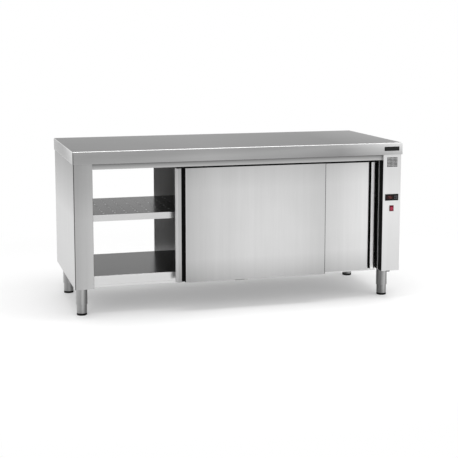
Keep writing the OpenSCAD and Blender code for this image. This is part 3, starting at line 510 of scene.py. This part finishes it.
def eased(node_name, radius, smooth=False):
    """A copy of a CAD piece with its sharp edges rounded to the given radius."""
    source = frame["nodes"][node_name]
    shape = bmesh.new()
    shape.from_mesh(source.data)
    bmesh.ops.remove_doubles(shape, verts=shape.verts[:], dist=1e-6)
    if node_name not in PIERCED:
        bmesh.ops.dissolve_limit(shape, angle_limit=FLAT_ANGLE, verts=shape.verts[:],
                                 edges=shape.edges[:])
    mesh = bpy.data.meshes.new(node_name + "_eased")
    shape.to_mesh(mesh)
    shape.free()
    for face in mesh.polygons:
        face.use_smooth = smooth
    piece = bpy.data.objects.new(node_name + "_eased", mesh)
    mesh.materials.append(finish_of(node_name))
    bpy.context.scene.collection.objects.link(piece)
    add_fold(piece, radius)
    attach(piece, source["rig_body"])
    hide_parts(node_name)


# %% [markdown]
# The radius is that of the real fold or moulding, in millimetres: about half the sheet's
# thickness on the carcass, and more on the moulded bezels and key caps. Doors and legs share
# their names, because there is one of each at every corner.

# %% Folds, mouldings and tubes
DOORS = CORNERS = tuple(DOOR_COLUMNS)
KEYS = ("key_up", "key_down", "key_set", "key_standby")
flat_pieces = {
    "left_side_shell": 0.5, "column_shell": 0.5, "bottom_shelf": 0.5, "middle_shelf": 0.5,
    "front_top_rail": 0.5, "rear_top_rail": 0.5, "base_beams": 0.4, "shelf_brackets": 0.5,
    "nameplate": 0.2, "thermostat_case": 0.7, "rocker_housing": 0.6, "door_guides": 0.6,
    "door_buffers": 1.0, "terminal_block": 0.4,
}
flat_pieces.update({door + "_door_skin": 0.45 for door in DOORS})
flat_pieces.update({door + "_door_liner": 0.3 for door in DOORS})
flat_pieces.update({key: 1.0 for key in KEYS})
smooth_pieces = {"worktop": 0.7, "rocker": 0.5, "fan_motor": 0.8}
smooth_pieces.update({"leg_" + corner: 0.5 for corner in CORNERS})
smooth_pieces.update({"foot_" + corner: 0.4 for corner in CORNERS})
for name, radius in flat_pieces.items():
    eased(name, radius * MM)
for name, radius in smooth_pieces.items():
    eased(name, radius * MM, True)
print("eased pieces:", len(flat_pieces) + len(smooth_pieces))

# %% [markdown]
# ## Pieces of our own
# The small pieces that follow are drawn as outlines and pulled out into solids, or as profiles
# that are spun round an axis. Two helpers do that on a bmesh, and a third turns the bmesh into a
# piece that rides on a body of the cabinet.

# %% Helpers for new pieces
TURN_STEPS = 48


def pull(shape, outline, reach):
    """A solid pulled out from a closed outline of points along a vector."""
    face = shape.faces.new([shape.verts.new(point) for point in outline])
    grown = bmesh.ops.extrude_face_region(shape, geom=[face])["geom"]
    ends = [part for part in grown if isinstance(part, bmesh.types.BMVert)]
    bmesh.ops.translate(shape, verts=ends, vec=reach)


def turn(shape, profile, centre):
    """A ring spun round an upright axis from a closed profile of (radius, height) points."""
    corners = [shape.verts.new((centre[0] + r, centre[1], centre[2] + z)) for r, z in profile]
    loop = [shape.edges.new((corners[i - 1], corners[i])) for i in range(len(corners))]
    bmesh.ops.spin(shape, geom=corners + loop, cent=centre, axis=(0, 0, 1), angle=2 * math.pi,
                   steps=TURN_STEPS, use_merge=True)


def finish_piece(name, shape, body, slot, fold=0.0):
    """The bmesh as a finished piece that rides on a body. Its fold is in millimetres."""
    bmesh.ops.remove_doubles(shape, verts=shape.verts[:], dist=1e-7)
    bmesh.ops.recalc_face_normals(shape, faces=shape.faces[:])
    mesh = bpy.data.meshes.new(name)
    shape.to_mesh(mesh)
    shape.free()
    mesh.materials.append(finishes[slot])
    piece = bpy.data.objects.new(name, mesh)
    bpy.context.scene.collection.objects.link(piece)
    if fold:
        add_fold(piece, fold * MM)
    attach(piece, body)
    return piece


# %% [markdown]
# ## Grip channels
# Each door has a recess for the fingers behind a slanted lip. The recess lies deep in shade, and a
# black channel is put into it that stands in for that shade. Its cross-section is a U that follows
# the recess of the steel, one millimetre thick, drawn here in the door's own measures: how far
# along from the grip end, and how far back from the face.

# %% Grip channels
GRIP_FLANK, GRIP_LIP, GRIP_RECESS = 12.0, 18.0, 19.0
LIP_BACK, RECESS_BACK, PANEL_CURVE = 15.0, 28.0, 6.0
LINER, END_PLAY = 1.0, 1.0
SOFT_FOLD = 0.3


def channel_outline():
    """The U of the channel, as (along, back) points in the door's own millimetres."""
    near = GRIP_FLANK + GRIP_LIP
    far = near + GRIP_RECESS
    lip, curve, back = LIP_BACK + LINER, PANEL_CURVE + LINER, RECESS_BACK
    return [(near, lip), (near + LINER, lip), (near + LINER, back - LINER),
            (far - LINER, back - LINER), (far - LINER, curve), (far, curve), (far, back),
            (near, back)]


def grip_shade_channel(door):
    """The black channel that stands in for a recess's shade, a little shorter than the door."""
    low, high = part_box(door + "_door_skin")
    left, front = door.endswith("left"), door.startswith("front")
    x0, x_way = (low[0], 1) if left else (high[0], -1)
    y0, y_way = (low[1], 1) if front else (high[1], -1)
    outline = [(x0 + x_way * along * MM, y0 + y_way * back * MM, low[2] + END_PLAY * MM)
               for along, back in channel_outline()]
    shape = bmesh.new()
    # The channel is a black piece put in for the shade of the recess.
    pull(shape, outline, (0, 0, high[2] - low[2] - 2 * END_PLAY * MM))
    finish_piece(door + "_grip_channel", shape, door + "_door", "buffer_rubber", SOFT_FOLD)


for door in DOORS:
    grip_shade_channel(door)
print("grip channels:", len(DOORS))

# %% [markdown]
# ## Seals on the doors
# A black brush runs along the top of each door and closes the gap under the rail cover. On the
# outer doors it stands on the top edge, close behind the face. The inner doors hang further back,
# where the gap would show more, so there it lies against the face and laps over the panel's edge.
# A narrow black strip on the end that each door turns to its neighbour is a dark piece put in
# for the shade of the gap between the doors.

# %% Door seals
# How far back from the door's face the brush starts and ends, and how far it laps over the edge.
# A brush that starts below zero stands out in front of the face.
BRUSHES = {"left": (3.0, 6.0, 0.0), "right": (-2.5, 0.0, 6.0)}
SEAL_END, SEAL_PLAY = 2.0, 0.7
EDGE_STRIP, EDGE_FRONT, EDGE_BACK = 3.0, 1.5, 30.0


def door_seal(door):
    """A door's brush and its edge strip, as one piece."""
    low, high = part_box(door + "_door_skin")
    side = "left" if door.endswith("left") else "right"
    face, y_way = (low.y, 1) if door.startswith("front") else (high.y, -1)
    near, far, lap = (part * MM for part in BRUSHES[side])
    x0, x1 = low.x + SEAL_END * MM, high.x - SEAL_END * MM
    shape = bmesh.new()
    pull(shape, [(x, face + y_way * y, high.z - lap) for x, y in
                 ((x0, near), (x1, near), (x1, far), (x0, far))],
         (0, 0, COVER - SEAL_PLAY * MM - high.z + lap))
    # The edge strip is a dark piece that stands in for the shade between the doors.
    end, x_way = (high.x, 1) if side == "left" else (low.x, -1)
    strip = ((0, EDGE_FRONT), (EDGE_STRIP, EDGE_FRONT), (EDGE_STRIP, EDGE_BACK), (0, EDGE_BACK))
    pull(shape, [(end + x_way * x * MM, face + y_way * y * MM, low.z + SEAL_END * MM)
                 for x, y in strip], (0, 0, high.z - low.z - 2 * SEAL_END * MM))
    finish_piece(door + "_door_seal", shape, door + "_door", "buffer_rubber", SOFT_FOLD)


for door in DOORS:
    door_seal(door)
print("doors with seals:", len(DOORS))

# %% [markdown]
# ## Jamb linings
# A closed door stops short of the jamb, and the gap is dark, because a black strip lines the jamb
# on both sides of the thin rib that parts the two door lanes. Each strip is a flat profile with
# one low ridge along it, which a closing door would meet first.

# %% Jamb linings
FRONT_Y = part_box("column_shell")[0][1]
LANES = ((2.0, 46.0), (52.0, 91.0))
STRIP, RIDGE = 1.2, 2.6
RIDGE_FOOT, RIDGE_TOP = 4.0, 2.0
JAMBS = {"left": (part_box("left_inner_panel")[1][0], 1), "right": (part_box("duct_wall")[0][0], -1)}
CARCASS_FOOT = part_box("column_shell")[0][2]
STRIP_FOOT = CARCASS_FOOT + MM


def jamb_lining(side, face):
    """The strips of one jamb on one long side of the cabinet."""
    x0, x_way = JAMBS[side]
    y_way = 1 if face == "front" else -1
    shape = bmesh.new()
    for start, end in LANES:
        middle = (start + end) / 2
        profile = [(0, start), (STRIP, start), (STRIP, middle - RIDGE_FOOT),
                   (RIDGE, middle - RIDGE_TOP), (RIDGE, middle + RIDGE_TOP),
                   (STRIP, middle + RIDGE_FOOT), (STRIP, end), (0, end)]
        outline = [(x0 + x_way * out * MM, y_way * (FRONT_Y + back * MM), STRIP_FOOT)
                   for out, back in profile]
        pull(shape, outline, (0, 0, COVER - STRIP_FOOT - MM))
    finish_piece(side + "_" + face + "_jamb_lining", shape, "cabinet", "buffer_rubber", SOFT_FOLD)


for side in JAMBS:
    for face in ("front", "rear"):
        jamb_lining(side, face)
print("jamb linings:", 2 * len(JAMBS), "with", len(LANES), "strips each")

# %% [markdown]
# ## Rings under the feet
# A foot stands on a dark plastic ring, about ten millimetres high. It is a profile spun round the
# foot's own axis. Around it the foot was drawn in by CAD, so that the ring fits flush.

# %% Foot rings
RING_INNER, RING_OUTER, RING_HEIGHT = 25.0, 27.0, 9.8
ring_profile = [(RING_INNER, 0.0), (RING_OUTER - 1.0, 0.0), (RING_OUTER, 1.2),
                (RING_OUTER, RING_HEIGHT - 0.6), (RING_OUTER - 0.6, RING_HEIGHT),
                (RING_INNER, RING_HEIGHT)]
for corner in CORNERS:
    low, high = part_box("foot_" + corner)
    shape = bmesh.new()
    turn(shape, [(r * MM, z * MM) for r, z in ring_profile],
         ((low[0] + high[0]) / 2, (low[1] + high[1]) / 2, 0.0))
    finish_piece("foot_ring_" + corner, shape, "foot_" + corner + "_body", "buffer_rubber")
print("foot rings:", len(CORNERS))

# %% [markdown]
# ## Bolts of the legs
# Each leg hangs on a square plate with four hexagon bolts. A bolt head is a six-sided prism with
# eased edges, made with Blender's cone operator, and a washer lies between it and the plate.

# %% Leg bolts
BOLT_IN, LEG_PLATE = 8.0, 2.0
HEAD, HEAD_HEIGHT = 5.8, 4.0
WASHER, WASHER_HEIGHT = 7.5, 1.2
HEXAGON, ROUND = 6, 24


def disc(shape, centre, radius, height, sides):
    """An upright prism with the given radius and height, in millimetres."""
    made = bmesh.ops.create_cone(shape, cap_ends=True, segments=sides, radius1=radius * MM,
                                 radius2=radius * MM, depth=height * MM)
    bmesh.ops.translate(shape, verts=made["verts"], vec=centre)


bolts = bmesh.new()
for corner in CORNERS:
    low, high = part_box("leg_" + corner)
    under = high[2] - LEG_PLATE * MM
    for x in (low[0] + BOLT_IN * MM, high[0] - BOLT_IN * MM):
        for y in (low[1] + BOLT_IN * MM, high[1] - BOLT_IN * MM):
            washer_z = under - WASHER_HEIGHT / 2 * MM
            head_z = under - (WASHER_HEIGHT + HEAD_HEIGHT / 2) * MM
            disc(bolts, (x, y, washer_z), WASHER, WASHER_HEIGHT, ROUND)
            disc(bolts, (x, y, head_z), HEAD, HEAD_HEIGHT, HEXAGON)
finish_piece("leg_bolts", bolts, "cabinet", "track_steel", 0.4)
print("leg bolts:", 4 * len(CORNERS))

# %% [markdown]
# ## The display and the switch
# The thermostat shows a number in seven-segment digits on its dark red window. A digit is made
# of thin six-sided bars, so a table of the lit bars is all that a number needs. They glow
# faintly. The rocker carries the two usual marks, a bar for on and a ring for off, and they
# follow its dished face.

# %% Display digits
glow = Finish("digit_glow", Roughness=0.4, Emission_Strength=1.0)
flicker = glow.noise((400.0, 400.0, 400.0), 1.0)
glow.feed("Base Color", glow.tint((0.10, 0.02, 0.02), 0.9 + 0.2 * flicker))
glow.feed("Emission Color", glow.tint((0.10, 0.015, 0.015), 0.8 + 0.4 * flicker))
finishes["digit_glow"] = glow.material

DIGIT_W, DIGIT_H, DIGIT_STEP = 7.0, 12.0, 11.0
BAR, BAR_SHORT, BAR_DEPTH, BAR_OUT = 1.4, 0.6, 0.1, 0.12
NUMBER = "75"
LIT = {"7": "abc", "5": "afgcd"}
BARS = {"a": ((-1, 1), (1, 1)), "b": ((1, 1), (1, 0)), "c": ((1, 0), (1, -1)),
        "d": ((-1, -1), (1, -1)), "e": ((-1, 0), (-1, -1)), "f": ((-1, 1), (-1, 0)),
        "g": ((-1, 0), (1, 0))}


def digit(shape, figure, centre):
    """The lit bars of a figure, each a thin bar with a pointed tip at both ends."""
    for bar in LIT[figure]:
        start, end = (Vector((p[0] * DIGIT_W / 2, 0, p[1] * DIGIT_H / 2)) for p in BARS[bar])
        way = (end - start).normalized()
        out = Vector((-way.z, 0, way.x)) * BAR / 2
        a, b = start + way * BAR * BAR_SHORT, end - way * BAR * BAR_SHORT
        tips = [a - way * BAR / 2, a + out, b + out, b + way * BAR / 2, b - out, a - out]
        pull(shape, [centre + tip * MM for tip in tips], (0, BAR_DEPTH * MM, 0))


window_low, window_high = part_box("thermostat_window")
middle = (window_low + window_high) / 2
readout = bmesh.new()
for place, figure in enumerate(NUMBER):
    offset = (place - (len(NUMBER) - 1) / 2) * DIGIT_STEP
    digit(readout, figure,
          Vector((middle.x + offset * MM, window_low.y - BAR_OUT * MM, middle.z)))
digits = finish_piece("display_digits", readout, "cabinet", "window_plastic")
digits.data.materials[0] = finishes["digit_glow"]
print("digits:", len(NUMBER))

# %% Switch marks
DISH_RADIUS, DISH_DEPTH = 40.0, 1.2
ROCKER_FRONT, ROCKER_IN, ROCKER_TILT = 10.0, 6.0, math.radians(9)
MARK_UP, MARK_DEPTH, MARK_OUT = 5.4, 0.3, 0.1
BAR_MARK, RING_MARK, RING_STEPS = (0.5, 2.0), (1.3, 2.1), 28


def dish(height):
    """How far the rocker's dished face lies in front of its pivot, at a height from the middle."""
    axis = ROCKER_FRONT + DISH_RADIUS - DISH_DEPTH
    return axis - math.sqrt(DISH_RADIUS ** 2 - height ** 2)


def rectangle(half_width, half_height):
    """The corners of a rectangle round the origin, in order."""
    return [(-half_width, -half_height), (half_width, -half_height), (half_width, half_height),
            (-half_width, half_height)]


marks = bmesh.new()
pull(marks, [(x * MM, 0, (MARK_UP + z) * MM) for x, z in rectangle(*BAR_MARK)],
     (0, MARK_DEPTH * MM, 0))
inner, outer = (radius * MM for radius in RING_MARK)
ring = [marks.verts.new((r, y, 0)) for r, y in
        ((inner, 0), (outer, 0), (outer, MARK_DEPTH * MM), (inner, MARK_DEPTH * MM))]
loop = [marks.edges.new((ring[i - 1], ring[i])) for i in range(len(ring))]
bmesh.ops.spin(marks, geom=ring + loop, cent=(0, 0, 0), axis=(0, 1, 0), angle=2 * math.pi,
               steps=RING_STEPS, use_merge=True)
circle = [vertex for vertex in marks.verts if vertex.co.z < outer * 1.1]
bmesh.ops.translate(marks, verts=circle, vec=(0, 0, -MARK_UP * MM))
for vertex in marks.verts:
    vertex.co.y -= dish(vertex.co.z / MM) * MM + MARK_OUT * MM

housing_low, housing_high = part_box("rocker_housing")
pivot = Vector(((housing_low.x + housing_high.x) / 2, FRONT_Y + ROCKER_IN * MM,
                (housing_low.z + housing_high.z) / 2))
bmesh.ops.translate(marks, verts=marks.verts[:], vec=pivot)
bmesh.ops.rotate(marks, verts=marks.verts[:], cent=pivot,
                 matrix=Matrix.Rotation(ROCKER_TILT, 3, "X"))
finish_piece("switch_marks", marks, "rocker_body", "key_plastic")
print("switch marks: bar and ring")

# %% [markdown]
# ## Dark pad behind the vent
# The vent is a field of square holes in the column's face. A thin black pad lies behind it and
# stands in for the shade inside the column, so that the holes look dark from every side.

# %% Vent shade pad
VENT_DROP = 107.0
PAD_WIDTH, PAD_HEIGHT, PAD_FRONT, PAD_BACK = 74.0, 66.0, 1.3, 4.3
vent_middle = Vector((pivot.x, FRONT_Y, HEIGHT - VENT_DROP * MM))
# The pad is a black piece put in for the shade behind the holes.
pad = bmesh.new()
pull(pad, [vent_middle + Vector((x, PAD_FRONT, z)) * MM
           for x, z in rectangle(PAD_WIDTH / 2, PAD_HEIGHT / 2)],
     (0, (PAD_BACK - PAD_FRONT) * MM, 0))
finish_piece("vent_shade_pad", pad, "cabinet", "gland_plastic", 0.4)
print("vent shade pad, mm:", PAD_WIDTH, PAD_HEIGHT)

# %% [markdown]
# ## Nut of the cable gland
# The gland under the column is tightened with a hexagon nut. It is a six-sided prism with its
# edges eased, and the round gland passes through it.

# %% Gland nut
NUT, NUT_HEIGHT, NUT_DROP = 16.2, 6.8, 0.3
gland_low, gland_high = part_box("cable_gland")
nut_place = ((gland_low.x + gland_high.x) / 2, (gland_low.y + gland_high.y) / 2,
             CARCASS_FOOT - (NUT_DROP + NUT_HEIGHT / 2) * MM)
nut = bmesh.new()
disc(nut, nut_place, NUT, NUT_HEIGHT, HEXAGON)
finish_piece("gland_nut", nut, "cabinet", "gland_plastic", 0.8)
print("gland nut, mm across:", 2 * NUT)

# %% [markdown]
# ## Light
# A catalogue picture is lit by very large soft lamps, with white all round. A wide panel hangs
# over the cabinet, a little in front of it, so that the bent edges of the worktop catch it as a
# bright line. Two more panels stand in front. Their reflections in the steel are soft patches
# with no hard border.

# %% Lamps
# Each lamp's place, the point that it is aimed at, its size and its power in watts.
LAMPS = {
    "overhead": ((0.2, -0.5, 3.3), (0.2, 0.0, 0.5), (4.2, 1.6), 70),
    "front_left": ((-3.4, -3.4, 2.4), (0.0, 0.0, 0.5), (2.4, 2.4), 32),
    "front_right": ((3.4, -3.0, 2.0), (0.3, 0.0, 0.5), (2.0, 2.4), 24),
}


def lamp(name, place, aim, size, power):
    """A rectangular lamp that looks at a point."""
    light = bpy.data.lights.new(name, "AREA")
    light.shape = "RECTANGLE"
    light.size, light.size_y = size
    light.energy = power
    holder = bpy.data.objects.new(name, light)
    holder.location = place
    holder.rotation_euler = (Vector(aim) - Vector(place)).to_track_quat("-Z", "Y").to_euler()
    bpy.context.scene.collection.objects.link(holder)


for name, setting in LAMPS.items():
    lamp(name, *setting)
print("lamps:", len(LAMPS))

# %% [markdown]
# ## A white room
# The world is white to the camera and in reflections, and gives the surfaces a little less light
# than that. Light Path tells which kind of ray asks: camera, glossy and transmission rays see the
# full white.

# %% World
WORLD_FILL = 0.80
world = bpy.data.worlds.new("studio")
bpy.context.scene.world = world
world.use_nodes = True
sky = world.node_tree
rays = sky.nodes.new("ShaderNodeLightPath")
seen = sky.nodes.new("ShaderNodeMath")
seen.operation = "MAXIMUM"
shown = sky.nodes.new("ShaderNodeMath")
shown.operation = "MAXIMUM"
level = sky.nodes.new("ShaderNodeMapRange")
level.inputs["To Min"].default_value = WORLD_FILL
level.inputs["To Max"].default_value = 1.0
sky.links.new(rays.outputs["Is Camera Ray"], seen.inputs[0])
sky.links.new(rays.outputs["Is Glossy Ray"], seen.inputs[1])
sky.links.new(seen.outputs[0], shown.inputs[0])
sky.links.new(rays.outputs["Is Transmission Ray"], shown.inputs[1])
sky.links.new(shown.outputs[0], level.inputs["Value"])
sky.nodes["Background"].inputs["Color"].default_value = (1, 1, 1, 1)
sky.links.new(level.outputs["Result"], sky.nodes["Background"].inputs["Strength"])
print("world fill:", WORLD_FILL)

# %% [markdown]
# The floor is white paper. Near the cabinet it is a matt surface that keeps the soft shadow, with
# a share of painted white mixed in for the rays that see it, which lightens that shadow. Further
# out it turns into the same white as the backdrop, for the rays that see the backdrop, so that no
# horizon shows.

# %% Floor
FLOOR_SIZE = 40.0
SHADOW_REACH, WHITE_REACH = 1.35, 2.3
# Painted light: the share of white mixed into the floor near the cabinet, lightening its shadow.
NEAR_WHITE = 0.28
OVAL = (0.78, 1.0, 1.0)
PAPER = (0.90, 0.90, 0.90, 1)

floor_shape = bmesh.new()
bmesh.ops.create_grid(floor_shape, x_segments=1, y_segments=1, size=FLOOR_SIZE / 2)
floor_mesh = bpy.data.meshes.new("floor")
floor_shape.to_mesh(floor_mesh)
floor_shape.free()
floor = bpy.data.objects.new("floor", floor_mesh)
bpy.context.scene.collection.objects.link(floor)

paper = Finish("studio_floor", Roughness=0.9, Base_Color=PAPER)
seen = paper.add("ShaderNodeLightPath", {}, {}, "Is Camera Ray")
for ray in ("Is Glossy Ray", "Is Transmission Ray"):
    seen = seen.math("MAXIMUM", seen, paper.add("ShaderNodeLightPath", {}, {}, ray))
oval = paper.add("ShaderNodeMapping", {}, {"Vector": paper.place, "Scale": OVAL})
distance = paper.add("ShaderNodeVectorMath", {"operation": "LENGTH"}, {0: oval}, "Value")
away = paper.add("ShaderNodeMapRange", {"interpolation_type": "SMOOTHSTEP"},
                 {"Value": distance, "From Min": SHADOW_REACH, "From Max": WHITE_REACH})
white = paper.add("ShaderNodeEmission", {}, {"Color": (1, 1, 1, 1), "Strength": 1.0})
# Painted light near the cabinet, growing into the full white of the backdrop further out.
part_white = seen * (NEAR_WHITE + (1 - NEAR_WHITE) * away)
matt = Wave(paper, paper.shader.outputs[0])
both = paper.add("ShaderNodeMixShader", {}, {0: part_white, 1: matt, 2: white})
paper.tree.links.new(both.socket, paper.tree.nodes["Material Output"].inputs["Surface"])
floor_mesh.materials.append(paper.material)
print("floor, metres:", FLOOR_SIZE)
